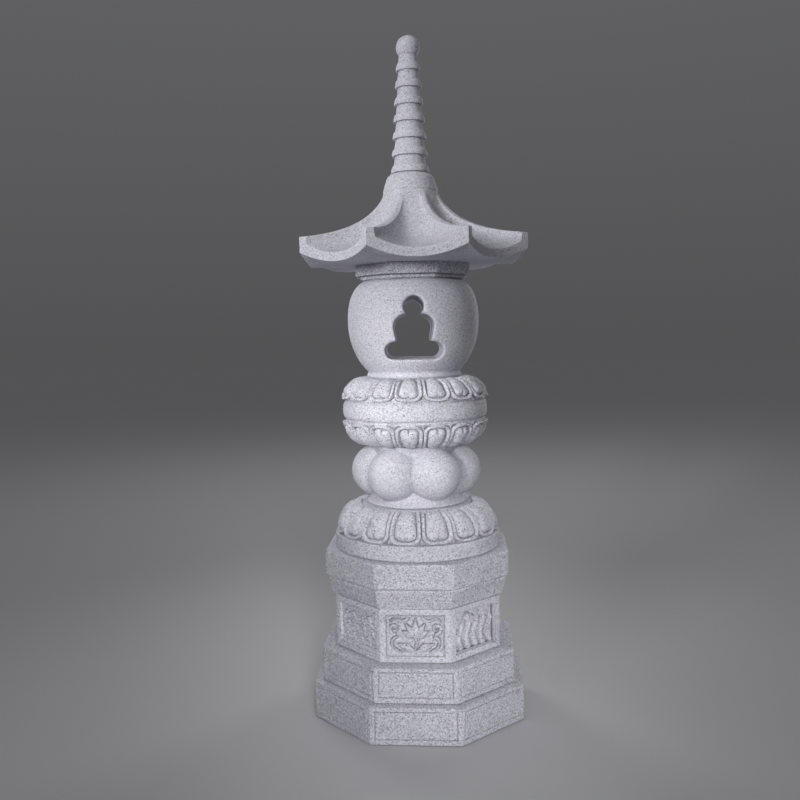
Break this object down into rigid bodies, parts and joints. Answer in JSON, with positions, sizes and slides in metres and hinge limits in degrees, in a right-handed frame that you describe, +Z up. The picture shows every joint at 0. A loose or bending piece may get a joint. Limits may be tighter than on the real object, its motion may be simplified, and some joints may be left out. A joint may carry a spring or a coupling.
{
  "type": "granite pagoda lantern",
  "caption": "Free-standing carved granite pagoda lantern: octagonal stepped base, lotus and lobed stones, round fire box with a window cut through it, upturned roof and ringed spire.",
  "frame": {"origin": "on the ground, under the middle of the lowest stone", "axes": "+Z up along the stack, -Y out of the front of the fire box's window, +X to the right seen from the front"},
  "size_m": [0.853, 0.853, 2.6],
  "materials": {
    "fine_chiselled_granite": "matte, fine chiselled",
    "carved_granite": "matte, hand carved",
    "honed_granite": "matte, rubbed smooth"
  },
  "bodies": {
    "root": {"base_lower_tier": "fine_chiselled_granite", "base_upper_tier": "fine_chiselled_granite", "pedestal_block": "carved_granite", "pedestal_cornice": "fine_chiselled_granite", "lower_lotus_stone": "carved_granite", "lobed_stone": "honed_granite", "upper_lotus_stone": "carved_granite", "fire_box": "honed_granite", "roof_collar": "fine_chiselled_granite", "roof": "honed_granite", "spire": "honed_granite"}
  },
  "joints": []
}
